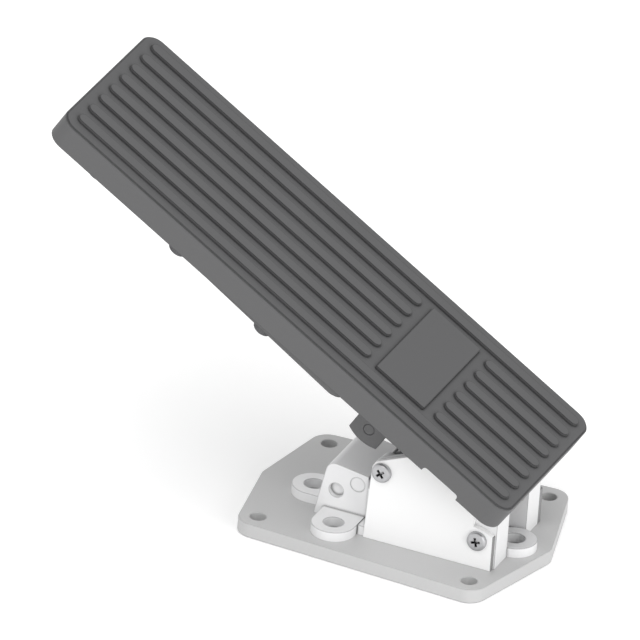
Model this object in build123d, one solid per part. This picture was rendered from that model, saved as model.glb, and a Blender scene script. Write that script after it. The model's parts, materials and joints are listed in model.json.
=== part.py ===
from build123d import *
from math import asin, atan2, cos, hypot, radians, sin, sqrt, tan
import os

# Floor-mounted treadle accelerator pedal, in millimetres.
# X runs along the base plate towards the heel end, Y across it, Z up.
# Heights in this file are measured from the top face of the base plate, and
# every finished piece is lifted by the plate's thickness when it is written,
# so that the written model stands on Z = 0, centred on its four floor holes.

# Base plate
PLATE_T = 6.4
HOLE_ROW = 100.0
REAR_PAIR = 75.2
FRONT_PAIR = 85.8
HOLE_D = 7.0
PLATE_EDGE = 8.4
REAR_NOSE = 6.2
FRONT_NOSE = 11.1

# Centre line of the pedal across the plate
MID_Y = -6.2

# Cast bracket
WALL_T = 2.5
FLOOR_T = 2.5
EAR_R = 9.6
EAR_T = 4.5
EAR_HOLE = 9.0
EAR_REAR_X = -38.0
EAR_SIDE_X = -17.2
EAR_SIDE_OUT = 27.0
EAR_FRONT_X = 55.0
NEAR_Y = -28.8
FAR_Y = 17.8
BOX_REAR_X = -4.3
BOX_FRONT_X = 55.4
JOGGLE_DROP = 1.2
FLANGE_W = 13.0
FLANGE_RELIEF_Z = 22.2
FLANGE_RELIEF_W = 6.6
POST_L = 8.8
POST_GAP = 1.0

# Rear tower of the bracket
TOWER_REAR_X = -31.2
TOWER_FRONT_X = -7.2
TOWER_OVER = 0.8
TOWER_HOLE_DEPTH = 2.6
TOWER_LEAN = 10.9
TOWER_TOP_Z = 23.7
TOWER_TILT = 8.3
TOWER_T = 2.6
TOWER_BEND = 4.4
TOWER_HOLE_D = 6.7
TOWER_HOLE_X, TOWER_HOLE_Z = -21.6, 13.4
TOWER_PIN_X, TOWER_PIN_Z = -12.0, 18.7

# Side plates over the bracket walls
COVER_T = 2.4
COVER_SETBACK = 0.65
COVER_REAR_X = -2.4
COVER_CORNER_Z = 36.7
COVER_CORNER_R = 4.7
COVER_RISE = 23.5
COVER_PEAK_X = 20.0
COVER_PEAK_R = 8.0
COVER_LEDGE_Z = 19.2
COVER_LEDGE_X = 45.4
COVER_LEDGE_DROP = 3.0
LEDGE_STEPS = 6
SCREW_REAR_X, SCREW_REAR_Z = 2.2, 33.1
SCREW_FRONT_X, SCREW_FRONT_Z = 47.7, 13.1
SCREW_D = 5.0
PAN_HEAD_D = 8.8
PAN_HEAD_H = 2.2
SCREW_BOSS_D = 9.4
SCREW_BOSS_H = 5.0
RECESS_DEPTH = 1.4
RECESS_ARM = 4.4
RECESS_BLADE = 1.15
RECESS_TURN_REAR, RECESS_TURN_FRONT = -37.7, -12.5

# Hinge
HINGE_X = 46.4
HINGE_Z = 31.5
SHAFT_D = 8.0
SHAFT_HEAD_D = 12.4
SHAFT_HEAD_H = 1.8
HEAD_CLEAR = 0.8
WASHER_T = 0.8
BUSH_D = 11.0
BUSH_FLANGE_D = 12.4
BUSH_FLANGE_T = 1.0
RUN_FIT = 0.04
SIDE_FIT = 0.2
HINGE_BOSS_R = 9.0
RING_T = 1.0
RING_D = 12.4
RING_OPENING = 4.0
RING_GROOVE = 0.6

# Treadle, measured from the hinge axis along and square to its slope
SLOPE = 31.1
TRAVEL = 13.9
TREADLE_L = 251.4
TREADLE_W = 92.4
HEEL_OVERHANG = 13.6
PAD_Z = 19.8
SKIRT_DEPTH = 12.1
TREADLE_R = 7.5
SKIN_T = 3.0
SKIRT_T = 3.0
PAD_T = 1.5
PAD_STEP = 0.7
SKIRT_RIB_T = 2.0
SKIRT_RIB_H = 3.4
SKIRT_RIB_PITCH = 24.0
NOTCH_X0, NOTCH_X1 = -26.0, -7.0
NOTCH_DEPTH = 2.3
NOTCH_R = 1.6

# Tread ribs and the blank panel between them
RIB_COUNT = 8
RIB_PITCH = 10.67
RIB_W = 5.5
RIB_H = 1.5
RIB_END_MARGIN = 5.0
RIB_HEEL_MARGIN = 4.7
PANEL_L = 26.7
PANEL_W = 60.6
PANEL_X = -56.0
PANEL_GAP = 5.0

# Pressed stiffener pan under the treadle
PAN_T = 1.5
PAN_SIDE_GAP = 0.9
PAN_HEEL_X = -71.3
PAN_TOE_GAP = 8.0
PAN_DEPTH = 12.7
PAN_TAPER = 1.8
PAN_R = 6.5
PAN_SCREW_X = (-212.0, -165.2, -116.2)
PAN_SCREW_EDGE = 8.0
CAP_HEAD_D = 8.5
CAP_HEAD_H = 5.2
CAP_SOCKET_AF = 4.0
CAP_SCREW_D = 5.0
BOSS_D = 10.0

# Pressed hinge carrier with its stop lugs
CARRIER_T = 3.0
CARRIER_TOE_X = -68.0
CARRIER_HEEL_X = 8.0
CARRIER_SIDE_H = 9.0
EYE_R = 8.0
CARRIER_FLARE = 12.0
LUG_X = -55.0
LUG_W = 15.1
LUG_ARC_R = 17.0
LUG_GAP = 0.6
LUG_PIN_D = 5.0
LUG_PIN_UP = 7.0
TAIL_W = 6.0
TAIL_DROP = 13.5
RIVET_D = 5.0
RIVET_HEAD_D = 9.0
RIVET_HEAD_H = 2.0
RIVET_X = (-60.0, -16.0)
RIVET_CLEAR = 0.5

# Return springs between the bracket floor and the carrier
SPRING_X = 18.0
SPRING_TOP_Z = 40.0
SEAT_T = 2.0
SEAT_R = 11.5
SEAT_GAP = 0.5
SPIGOT_H = 5.0
OUTER_SPRING_R = 9.4
OUTER_WIRE = 2.0
OUTER_TURNS = 6.5
INNER_SPRING_R = 5.6
INNER_WIRE = 1.4
INNER_TURNS = 8.5
COIL_GAP = 0.3

# Idle stop
STOP_RIB_X = 34.0
STOP_RIB_T = 3.5
STOP_RIB_Z = 26.0
STOP_PAD_Z = 20.75
STOP_PAD_H = 5.5
STOP_STUD_D = 5.0
STOP_GAP = 0.2

# Position sensor on the far wall
SENSOR_PLATE_T = 3.1
SENSOR_BOSS_R = 9.6
SENSOR_BOSS_H = 5.2
ROTOR_R = 7.2
ROTOR_T = 3.0
ROTOR_GAP = 0.4
SHAFT_FLAT = 2.6
CASE_X0, CASE_X1 = 8.0, 35.0
CASE_Z0, CASE_Z1 = 9.0, 37.0
CASE_H = 9.0
CASE_WALL = 2.0
LID_T = 1.6
BOARD_T = 1.6
SOCKET_Z = 20.5
SOCKET_L = 17.0
SOCKET_W = 8.0
SOCKET_H = 12.0
SOCKET_WALL = 1.4
PIN_SIZE = 0.8
PIN_COUNT = 3
PIN_FIT = 0.05

# Screws that hold the bracket from under the plate
BASE_SCREW_D = 6.0
BASE_HEAD_D = 12.0
BASE_HEAD_H = 3.2
BASE_BOSS_D = 11.0
BASE_BOSS_H = 8.0
BASE_SOCKET_R = 2.3
BASE_SOCKET_DEPTH = 2.4
BASE_SCREW_AT = ((-20.0, -8.0), (-20.0, 8.0), (27.5, -14.5), (27.5, 14.5))

CARRIER_W = 2 * (SEAT_R + SEAT_GAP + CARRIER_T)
TOWER_W = CARRIER_W + 2 * TOWER_OVER
RIVET_Y = CARRIER_W / 2 - CARRIER_T - RIVET_HEAD_D / 2 - RIVET_CLEAR
PAN_HALF_W = TREADLE_W / 2 - SKIRT_T - PAN_SIDE_GAP
PAN_SCREW_Y = PAN_HALF_W - PAN_SCREW_EDGE
CARRIER_NEAR_Y = MID_Y - CARRIER_W / 2
CARRIER_FAR_Y = MID_Y + CARRIER_W / 2
TOWER_NEAR_Y = MID_Y - TOWER_W / 2
NEAR_IN_Y = NEAR_Y + WALL_T
FAR_IN_Y = FAR_Y - WALL_T
COVER_OUT_Y = NEAR_Y - COVER_T
BODY_TOP_Z = PAD_Z - PAD_STEP
PAD_UNDER_Z = PAD_Z - PAD_T
SKIN_UNDER_Z = PAD_UNDER_Z - SKIN_T
SKIRT_Z = PAD_Z - SKIRT_DEPTH
TOE_X = HEEL_OVERHANG - TREADLE_L
CARRIER_UNDER_Z = SKIN_UNDER_Z - CARRIER_T
PAN_SCREW_TOP_Z = PAD_UNDER_Z - 1.5
STOP_PAD_X0 = STOP_RIB_X + STOP_RIB_T
STOP_PAD_X1 = HINGE_X - TAIL_W / 2 - STOP_GAP
SPRING_BOTTOM_Z = FLOOR_T + SEAT_T
SENSOR_Y = FAR_Y + SENSOR_PLATE_T
POST_TOP_Z = HINGE_Z - TAIL_DROP - POST_GAP
TREADLE_AT = Location((HINGE_X, MID_Y, HINGE_Z), (0, SLOPE, 0))


def block(x0, x1, y0, y1, z0, z1):
    """A box between two corners."""
    centre = ((x0 + x1) / 2, (y0 + y1) / 2, (z0 + z1) / 2)
    return Pos(*centre) * Box(x1 - x0, y1 - y0, z1 - z0)


def rod_y(x, z, y0, y1, diameter):
    """A round bar along Y."""
    return Pos(x, (y0 + y1) / 2, z) * Rot(90, 0, 0) * Cylinder(diameter / 2, y1 - y0)


def rod_z(x, y, z0, z1, diameter):
    """A round bar along Z."""
    return Pos(x, y, (z0 + z1) / 2) * Cylinder(diameter / 2, z1 - z0)


def side_profile(points, y0, y1):
    """A closed outline in X and Z, made solid from y0 to y1."""
    outline = make_face(Polyline(*[(x, y0, z) for x, z in points], close=True))
    return extrude(outline, amount=y1 - y0, dir=(0, 1, 0))


def plan_profile(points, z0, z1):
    """A closed outline in X and Y, made solid from z0 to z1."""
    outline = make_face(Polyline(*[(x, y, z0) for x, y in points], close=True))
    return extrude(outline, amount=z1 - z0, dir=(0, 0, 1))


def rounded_plate(x0, x1, half_w, radius, z0, z1):
    """A plate about the treadle's centre line, with round corners in plan."""
    centre = ((x0 + x1) / 2, 0, z0)
    return extrude(Pos(*centre) * RectangleRounded(x1 - x0, 2 * half_w, radius), amount=z1 - z0)


def floor_holes():
    """The four floor holes of the base plate."""
    rear = [(-HOLE_ROW / 2, side * REAR_PAIR / 2) for side in (-1, 1)]
    front = [(HOLE_ROW / 2, side * FRONT_PAIR / 2) for side in (-1, 1)]
    return rear + front


def ear_centres():
    """The rear, front, near and far bolt ears of the bracket."""
    return [
        (EAR_REAR_X, MID_Y),
        (EAR_FRONT_X, MID_Y),
        (EAR_SIDE_X, MID_Y - EAR_SIDE_OUT),
        (EAR_SIDE_X, MID_Y + EAR_SIDE_OUT),
    ]


def cover_screw_places():
    return [(SCREW_REAR_X, SCREW_REAR_Z), (SCREW_FRONT_X, SCREW_FRONT_Z)]


def base_screw_centres():
    return [(x, MID_Y + y) for x, y in BASE_SCREW_AT]


def base_plate():
    """Six-sided steel plate, its corners round about the floor holes."""
    rear, front = floor_holes()[:2], floor_holes()[2:]
    nose_rear = (-HOLE_ROW / 2 - REAR_NOSE, 0)
    nose_front = (HOLE_ROW / 2 + FRONT_NOSE, 0)
    middle = make_face(Polyline(rear[0], front[0], nose_front, front[1], rear[1], nose_rear, close=True))
    plate = extrude(offset(middle, amount=PLATE_EDGE), amount=-PLATE_T)
    for x, y in floor_holes():
        plate -= rod_z(x, y, -PLATE_T, 0, HOLE_D)
    for x, y in ear_centres():
        plate -= rod_z(x, y, -PLATE_T, 0, EAR_HOLE)
    for x, y in base_screw_centres():
        plate -= rod_z(x, y, -PLATE_T, 0, BASE_SCREW_D)
        plate -= Pos(x, y, -PLATE_T + BASE_HEAD_H / 2) * Cone(BASE_HEAD_D / 2, BASE_SCREW_D / 2, BASE_HEAD_H)
    return plate


def tower_outline(inset):
    """Side view of the tower, its walls moved in by inset."""
    lean, tilt = radians(TOWER_LEAN), radians(TOWER_TILT)
    run, rise = tan(lean), tan(tilt)
    front = TOWER_FRONT_X - inset
    rear_foot = TOWER_REAR_X + inset / cos(lean)
    front_top = TOWER_TOP_Z - inset / cos(tilt) + inset * rise
    rear_top = (front_top + (front - rear_foot) * rise) / (1 + rise * run)
    return [(rear_foot, 0), (front, 0), (front, front_top), (rear_foot + rear_top * run, rear_top)]


def top_rear_edge(solid):
    """The edge along Y where the tower's rear face meets its top face."""
    along = [e for e in solid.edges() if abs(e.tangent_at(0).Y) > 0.99 and e.center().Z > TOWER_TOP_Z / 2]
    return min(along, key=lambda e: e.center().X)


def tower():
    """Hollow rear tower, open below, with a rolled rear corner."""
    y0, y1 = TOWER_NEAR_Y, TOWER_NEAR_Y + TOWER_W
    shell = side_profile(tower_outline(0), y0, y1)
    shell = fillet(top_rear_edge(shell), TOWER_BEND)
    room = side_profile(tower_outline(TOWER_T), y0 + TOWER_T, y1 - TOWER_T)
    shell -= fillet(top_rear_edge(room), max(TOWER_BEND - TOWER_T, 0.5))
    return shell


def wall_outline():
    """Side view shared by the bracket walls and the plates on them."""
    climb = (COVER_PEAK_X - COVER_REAR_X) * tan(radians(COVER_RISE))
    peak_z = COVER_CORNER_Z + climb
    reach = hypot(HINGE_X - COVER_PEAK_X, peak_z - HINGE_Z)
    down = atan2(HINGE_Z - peak_z, HINGE_X - COVER_PEAK_X)
    turn = down + asin(HINGE_BOSS_R / reach)
    touch = (HINGE_X - HINGE_BOSS_R * sin(turn), HINGE_Z + HINGE_BOSS_R * cos(turn))
    return [
        (BOX_REAR_X, 0),
        (BOX_FRONT_X, 0),
        (BOX_FRONT_X, HINGE_Z),
        (HINGE_X, HINGE_Z),
        touch,
        (COVER_PEAK_X, peak_z),
        (COVER_REAR_X, COVER_CORNER_Z),
    ]


def round_corner(solid, x, z, radius):
    """Round the edge along Y that lies nearest to x, z."""
    along = [e for e in solid.edges() if abs(e.tangent_at(0).Y) > 0.99]
    return fillet(min(along, key=lambda e: hypot(e.center().X - x, e.center().Z - z)), radius)


def wall(y0, y1):
    """A bracket wall or plate with its round eye at the hinge."""
    outline = wall_outline()
    panel = side_profile(outline, y0, y1)
    panel = round_corner(panel, *outline[-1], COVER_CORNER_R)
    panel = round_corner(panel, *outline[-2], COVER_PEAK_R)
    return panel + rod_y(HINGE_X, HINGE_Z, y0, y1, 2 * HINGE_BOSS_R)


def ear(x, y, toward):
    """A bolt ear: a disc with straight sides back to the bracket."""
    pad = rod_z(x, y, 0, EAR_T, 2 * EAR_R)
    if toward[0] == 0:
        y0, y1 = sorted((y, toward[1]))
        pad += block(x - EAR_R, x + EAR_R, y0, y1, 0, EAR_T)
    else:
        x0, x1 = sorted((x, toward[0]))
        pad += block(x0, x1, y - EAR_R, y + EAR_R, 0, EAR_T)
    return pad


def pedal_bracket():
    """Cast bracket: tower, two walls, front flanges and posts, floor and bolt ears."""
    far_tower_y = TOWER_NEAR_Y + TOWER_W
    plan = [
        (BOX_REAR_X, NEAR_Y),
        (BOX_FRONT_X, NEAR_Y),
        (BOX_FRONT_X, FAR_Y),
        (BOX_REAR_X, FAR_Y),
        (TOWER_FRONT_X, far_tower_y),
        (TOWER_FRONT_X, TOWER_NEAR_Y),
    ]
    body = plan_profile(plan, 0, FLOOR_T)
    body += block(TOWER_REAR_X + TOWER_T, TOWER_FRONT_X, TOWER_NEAR_Y, far_tower_y, 0, FLOOR_T)
    body += tower()
    body += wall(NEAR_Y, NEAR_IN_Y) + wall(FAR_IN_Y, FAR_Y)
    front_x = BOX_FRONT_X - WALL_T
    for y, inward in ((NEAR_Y, 1), (FAR_Y, -1)):
        low_y0, low_y1 = sorted((y, y + inward * FLANGE_W))
        high_y0, high_y1 = sorted((y, y + inward * FLANGE_RELIEF_W))
        body += block(BOX_FRONT_X - POST_L, BOX_FRONT_X, low_y0, low_y1, 0, POST_TOP_Z)
        body += block(front_x, BOX_FRONT_X, low_y0, low_y1, 0, FLANGE_RELIEF_Z)
        body += block(front_x, BOX_FRONT_X, high_y0, high_y1, 0, HINGE_Z)
    for wall_y, tower_y, inward in ((NEAR_Y, TOWER_NEAR_Y, 1), (FAR_Y, far_tower_y, -1)):
        joggle = [
            (BOX_REAR_X, wall_y),
            (BOX_REAR_X + WALL_T, wall_y),
            (TOWER_FRONT_X, tower_y + inward * 2 * WALL_T),
            (TOWER_FRONT_X, tower_y),
        ]
        body += plan_profile(joggle, 0, TOWER_TOP_Z - JOGGLE_DROP)
    body += block(STOP_RIB_X, STOP_RIB_X + STOP_RIB_T, NEAR_IN_Y, FAR_IN_Y, 0, STOP_RIB_Z)
    rear, front, near, far = ear_centres()
    body += ear(*rear, (TOWER_REAR_X + TOWER_T, MID_Y))
    body += rod_z(*front, 0, EAR_T, 2 * EAR_R)
    body += ear(*near, (0, TOWER_NEAR_Y))
    body += ear(*far, (0, far_tower_y))
    body += block(TOWER_FRONT_X, BOX_REAR_X, NEAR_Y - 1.5, TOWER_NEAR_Y, 0, EAR_T)
    for x, z in cover_screw_places():
        body += rod_y(x, z, NEAR_Y, NEAR_IN_Y + SCREW_BOSS_H, SCREW_BOSS_D)
    body += rod_y(SCREW_REAR_X, SCREW_REAR_Z, FAR_IN_Y - SCREW_BOSS_H, FAR_Y, SCREW_BOSS_D)
    for x, y in base_screw_centres():
        body += rod_z(x, y, 0, BASE_BOSS_H, BASE_BOSS_D)
    for y, inward in ((TOWER_NEAR_Y, 1), (far_tower_y, -1)):
        hole_end = y + inward * TOWER_HOLE_DEPTH
        boss_end = hole_end + inward * TOWER_T
        body += rod_y(TOWER_HOLE_X, TOWER_HOLE_Z, *sorted((y, boss_end)), TOWER_HOLE_D + TOWER_T)
        body -= rod_y(TOWER_HOLE_X, TOWER_HOLE_Z, *sorted((y, hole_end)), TOWER_HOLE_D)
    body -= rod_y(TOWER_PIN_X, TOWER_PIN_Z, NEAR_Y, FAR_Y, TOWER_HOLE_D)
    body -= rod_y(HINGE_X, HINGE_Z, NEAR_Y, FAR_Y, BUSH_D)
    for x, z in cover_screw_places():
        body -= rod_y(x, z, NEAR_Y, NEAR_IN_Y + SCREW_BOSS_H, SCREW_D)
        body -= rod_y(x, z, FAR_IN_Y - SCREW_BOSS_H, FAR_Y, SCREW_D)
    for x, y in ear_centres():
        body -= rod_z(x, y, 0, EAR_T, EAR_HOLE)
    for x, y in base_screw_centres():
        body -= rod_z(x, y, 0, BASE_BOSS_H, BASE_SCREW_D)
    for y in (CARRIER_NEAR_Y + CARRIER_T / 2, CARRIER_FAR_Y - CARRIER_T / 2):
        stud = Pos(STOP_RIB_X + STOP_RIB_T / 2, y, STOP_PAD_Z) * Rot(0, 90, 0)
        body -= stud * Cylinder(STOP_STUD_D / 2, STOP_RIB_T)
    return body


def side_plate(y0, y1, setback):
    """Plate over a bracket wall, cut clear of the hinge and stepped in front."""
    plate = wall(y0, y1)
    plate -= rod_y(HINGE_X, HINGE_Z, y0, y1, SHAFT_HEAD_D + 2 * HEAD_CLEAR)
    front_x, clear_z = BOX_FRONT_X - setback, HINGE_Z + 2 * HINGE_BOSS_R
    beyond_x = front_x + 2 * HINGE_BOSS_R
    ledge = [(COVER_LEDGE_X, clear_z)]
    for i in range(LEDGE_STEPS + 1):
        along = i / LEDGE_STEPS
        ledge_x = COVER_LEDGE_X + along * (front_x - COVER_LEDGE_X)
        ledge.append((ledge_x, COVER_LEDGE_Z - COVER_LEDGE_DROP * along**1.6))
    ledge += [(front_x, 0), (beyond_x, 0), (beyond_x, clear_z)]
    return plate - side_profile(ledge, y0, y1)


def side_cover():
    """Near cover, held by two pan-head screws."""
    plate = side_plate(COVER_OUT_Y, NEAR_Y, COVER_SETBACK)
    for x, z in cover_screw_places():
        plate -= rod_y(x, z, COVER_OUT_Y, NEAR_Y, SCREW_D)
    return plate


def cross_recess(head_y, facing, x, z, turn):
    """Cross recess of a pan head, sunk from its face; turn is where the driver left it."""
    y0, y1 = sorted((head_y, head_y - facing * RECESS_DEPTH))
    arm, blade = RECESS_ARM / 2, RECESS_BLADE / 2
    cross = block(-arm, arm, y0, y1, -blade, blade) + block(-blade, blade, y0, y1, -arm, arm)
    return Pos(x, 0, z) * Rot(0, turn, 0) * cross


def pan_screw(x, z, seat_y, facing, length, turn):
    """Pan-head screw along Y; facing is the side on which its head lies."""
    head_y = seat_y + facing * PAN_HEAD_H
    head = rod_y(x, z, *sorted((seat_y, head_y)), PAN_HEAD_D)
    rim = [e for e in head.edges() if e.geom_type == GeomType.CIRCLE and abs(e.center().Y - head_y) < 0.01]
    head = fillet(rim, PAN_HEAD_H * 0.6)
    screw = head + rod_y(x, z, *sorted((seat_y, seat_y - facing * length)), SCREW_D)
    return screw - cross_recess(head_y, facing, x, z, turn)


def tower_pin():
    """Pin pressed through both sides of the tower, flush with them."""
    return rod_y(TOWER_PIN_X, TOWER_PIN_Z, TOWER_NEAR_Y, TOWER_NEAR_Y + TOWER_W, TOWER_HOLE_D)


def base_screws():
    """Countersunk screws from under the plate into the bracket's bosses."""
    screws = []
    for x, y in base_screw_centres():
        screw = rod_z(x, y, -PLATE_T, BASE_BOSS_H, BASE_SCREW_D)
        screw += Pos(x, y, -PLATE_T + BASE_HEAD_H / 2) * Cone(BASE_HEAD_D / 2, BASE_SCREW_D / 2, BASE_HEAD_H)
        socket = extrude(RegularPolygon(BASE_SOCKET_R, 6), amount=BASE_SOCKET_DEPTH)
        screws.append(screw - Pos(x, y, -PLATE_T) * socket)
    return Compound(children=screws)


def hinge_bush(wall_out_y, wall_in_y, inward):
    """Flanged plastic bush pressed into a bracket wall."""
    face_y = wall_in_y + inward * BUSH_FLANGE_T
    bush = rod_y(HINGE_X, HINGE_Z, *sorted((wall_out_y, face_y)), BUSH_D)
    bush += rod_y(HINGE_X, HINGE_Z, *sorted((wall_in_y, face_y)), BUSH_FLANGE_D)
    return bush - rod_y(HINGE_X, HINGE_Z, *sorted((wall_out_y, face_y)), SHAFT_D + 2 * RUN_FIT)


def shaft_flat(y0, y1):
    """What is cut from the shaft to leave its flat."""
    x0, x1 = HINGE_X - SHAFT_D, HINGE_X + SHAFT_D
    return block(x0, x1, y0, y1, HINGE_Z + SHAFT_FLAT, HINGE_Z + SHAFT_D)


def hinge_shaft():
    """Headed steel shaft; its far end has a flat that turns the sensor."""
    head_in_y = NEAR_Y - WASHER_T - SIDE_FIT / 2
    end_y = SENSOR_Y + ROTOR_GAP + ROTOR_T
    shaft = rod_y(HINGE_X, HINGE_Z, head_in_y, end_y, SHAFT_D)
    shaft += rod_y(HINGE_X, HINGE_Z, head_in_y - SHAFT_HEAD_H, head_in_y, SHAFT_HEAD_D)
    flat_y = SENSOR_Y + ROTOR_GAP - SIDE_FIT
    flat = shaft_flat(flat_y, end_y)
    groove_y = FAR_Y + SIDE_FIT
    groove = rod_y(HINGE_X, HINGE_Z, groove_y, groove_y + RING_T, SHAFT_D)
    groove -= rod_y(HINGE_X, HINGE_Z, groove_y, groove_y + RING_T, SHAFT_D - 2 * RING_GROOVE)
    return shaft - flat - groove


def hinge_washer():
    """Thrust washer between the shaft's head and the near wall."""
    y0, y1 = NEAR_Y - WASHER_T, NEAR_Y
    washer = rod_y(HINGE_X, HINGE_Z, y0, y1, SHAFT_HEAD_D)
    return washer - rod_y(HINGE_X, HINGE_Z, y0, y1, SHAFT_D + 2 * RUN_FIT)


def retaining_ring():
    """Open ring in the shaft's groove, inside the sensor's boss."""
    y0 = FAR_Y + SIDE_FIT
    ring = rod_y(HINGE_X, HINGE_Z, y0, y0 + RING_T, RING_D)
    ring -= rod_y(HINGE_X, HINGE_Z, y0, y0 + RING_T, SHAFT_D - 2 * RING_GROOVE)
    half = RING_OPENING / 2
    return ring - block(HINGE_X - half, HINGE_X + half, y0, y0 + RING_T, HINGE_Z - RING_D, HINGE_Z)


def hinge_spacer(y0, y1, outer_d):
    """Tube on the shaft."""
    tube = rod_y(HINGE_X, HINGE_Z, y0, y1, outer_d)
    return tube - rod_y(HINGE_X, HINGE_Z, y0, y1, SHAFT_D)


def treadle_body():
    """Moulded treadle: skin, skirt all round, cross ribs and screw bosses."""
    half_w = TREADLE_W / 2
    shell = rounded_plate(TOE_X, HEEL_OVERHANG, half_w, TREADLE_R, SKIRT_Z, BODY_TOP_Z)
    room = rounded_plate(TOE_X + SKIRT_T, HEEL_OVERHANG - SKIRT_T, half_w - SKIRT_T, TREADLE_R - SKIRT_T,
                         SKIRT_Z, SKIN_UNDER_Z)
    body = shell - room - pad_sheet()
    rib_inner = CARRIER_W / 2 + 1
    rib_x = PAN_HEEL_X + SKIRT_RIB_PITCH / 2
    while rib_x < HEEL_OVERHANG - SKIRT_T:
        for side in (-1, 1):
            y0, y1 = sorted((side * rib_inner, side * (half_w - SKIRT_T)))
            rib_x0, rib_x1 = rib_x - SKIRT_RIB_T / 2, rib_x + SKIRT_RIB_T / 2
            body += block(rib_x0, rib_x1, y0, y1, SKIN_UNDER_Z - SKIRT_RIB_H, SKIN_UNDER_Z)
        rib_x += SKIRT_RIB_PITCH
    under_pan = side_profile(below_pan(PAN_T), -half_w + SKIRT_T, half_w - SKIRT_T)
    for x, y in pan_screw_centres():
        body += rod_z(x, y, pan_floor_z(x), SKIN_UNDER_Z, BOSS_D) - under_pan
        body -= rod_z(x, y, pan_floor_z(x), PAN_SCREW_TOP_Z, CAP_SCREW_D)
    for x, y in rivet_centres():
        body -= rod_z(x, y, SKIN_UNDER_Z, PAD_UNDER_Z, RIVET_D)
        body -= rod_z(x, y, PAD_UNDER_Z - RIVET_HEAD_H / 2, PAD_UNDER_Z, RIVET_HEAD_D)
    notch_z = SKIRT_Z + NOTCH_DEPTH
    for side in (-1, 1):
        y0, y1 = sorted((side * half_w, side * (half_w - SKIRT_T)))
        cut = block(NOTCH_X0, NOTCH_X1, y0, y1, SKIRT_Z - NOTCH_DEPTH, notch_z)
        ends = [e for e in cut.edges() if abs(e.tangent_at(0).Y) > 0.99 and e.center().Z > SKIRT_Z]
        body -= fillet(ends, NOTCH_R)
    return body


def tread_ribs():
    """Places of the raised ribs: x0, x1 and y of each."""
    toe, heel = TOE_X + RIB_END_MARGIN, HEEL_OVERHANG - RIB_HEEL_MARGIN
    above = PANEL_X - PANEL_L / 2 - PANEL_GAP
    below = PANEL_X + PANEL_L / 2 + PANEL_GAP
    ribs = []
    for i in range(RIB_COUNT):
        y = (i - (RIB_COUNT - 1) / 2) * RIB_PITCH
        if i in (0, RIB_COUNT - 1):
            ribs.append((toe, heel, y))
        else:
            ribs.append((toe, above, y))
            ribs.append((below, heel, y))
    return ribs


def pad_sheet():
    """Flat sheet of the pad, sunk part of its thickness into the treadle."""
    x0, x1 = TOE_X + PAD_STEP, HEEL_OVERHANG - PAD_STEP
    return rounded_plate(x0, x1, TREADLE_W / 2 - PAD_STEP, TREADLE_R - PAD_STEP, PAD_UNDER_Z, PAD_Z)


def treadle_pad():
    """Rubber pad with raised ribs and a blank panel."""
    pad = pad_sheet()
    for x0, x1, y in tread_ribs():
        rib = Pos((x0 + x1) / 2, y, PAD_Z) * SlotOverall(x1 - x0, RIB_W)
        pad += extrude(rib, amount=RIB_H)
    half_l, half_w = PANEL_L / 2, PANEL_W / 2
    panel = block(PANEL_X - half_l, PANEL_X + half_l, -half_w, half_w, PAD_Z, PAD_Z + RIB_H)
    return pad + panel


def pan_floor_z(x):
    """Underside of the pan, which deepens towards the heel."""
    return SKIN_UNDER_Z - PAN_DEPTH + (PAN_HEEL_X - x) * tan(radians(PAN_TAPER))


def below_pan(raise_by):
    """Side view of all that lies under the pan's floor, raised by raise_by."""
    x0, x1 = TOE_X, PAN_HEEL_X + PAN_R
    low = pan_floor_z(x1) - CAP_HEAD_H - PAN_R
    return [(x0, low), (x1, low), (x1, pan_floor_z(x1) + raise_by), (x0, pan_floor_z(x0) + raise_by)]


def pan_screw_centres():
    return [(x, side * PAN_SCREW_Y) for x in PAN_SCREW_X for side in (-1, 1)]


def rivet_centres():
    return [(x, side * RIVET_Y) for x in RIVET_X for side in (-1, 1)]


def above_pan():
    """Side view of all that lies over the underside of the pan."""
    x0, x1 = TOE_X, PAN_HEEL_X + PAN_R
    return [(x0, pan_floor_z(x0)), (x1, pan_floor_z(x1)), (x1, PAD_Z), (x0, PAD_Z)]


def stiffener_pan():
    """Pressed tray under the toe half of the treadle, open side up."""
    x0, x1 = TOE_X + PAN_TOE_GAP, PAN_HEEL_X
    low = pan_floor_z(x1) - PAN_T
    outer = rounded_plate(x0, x1, PAN_HALF_W, PAN_R, low, SKIN_UNDER_Z)
    outer -= side_profile(below_pan(0), -PAN_HALF_W, PAN_HALF_W)
    inner = rounded_plate(x0 + PAN_T, x1 - PAN_T, PAN_HALF_W - PAN_T, PAN_R - PAN_T, low, SKIN_UNDER_Z)
    inner -= side_profile(below_pan(PAN_T), -PAN_HALF_W, PAN_HALF_W)
    pan = outer - inner
    for x, y in pan_screw_centres():
        pan -= rod_z(x, y, low, SKIN_UNDER_Z, CAP_SCREW_D)
    return pan


def pan_screws():
    """Socket-head cap screws that hold the pan to the treadle's bosses."""
    screws = []
    for x, y in pan_screw_centres():
        seat = pan_floor_z(x)
        base = seat - CAP_HEAD_H
        head = chamfer(rod_z(x, y, base, seat + 1, CAP_HEAD_D).edges().group_by(Axis.Z)[0], 0.4)
        head -= side_profile(above_pan(), -TREADLE_W / 2, TREADLE_W / 2)
        socket = Pos(x, y, base) * RegularPolygon(CAP_SOCKET_AF / 2, 6, major_radius=False)
        head -= extrude(socket, amount=CAP_HEAD_H / 2)
        screws.append(head + rod_z(x, y, seat - 1, PAN_SCREW_TOP_Z, CAP_SCREW_D))
    return Compound(children=screws)


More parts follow.
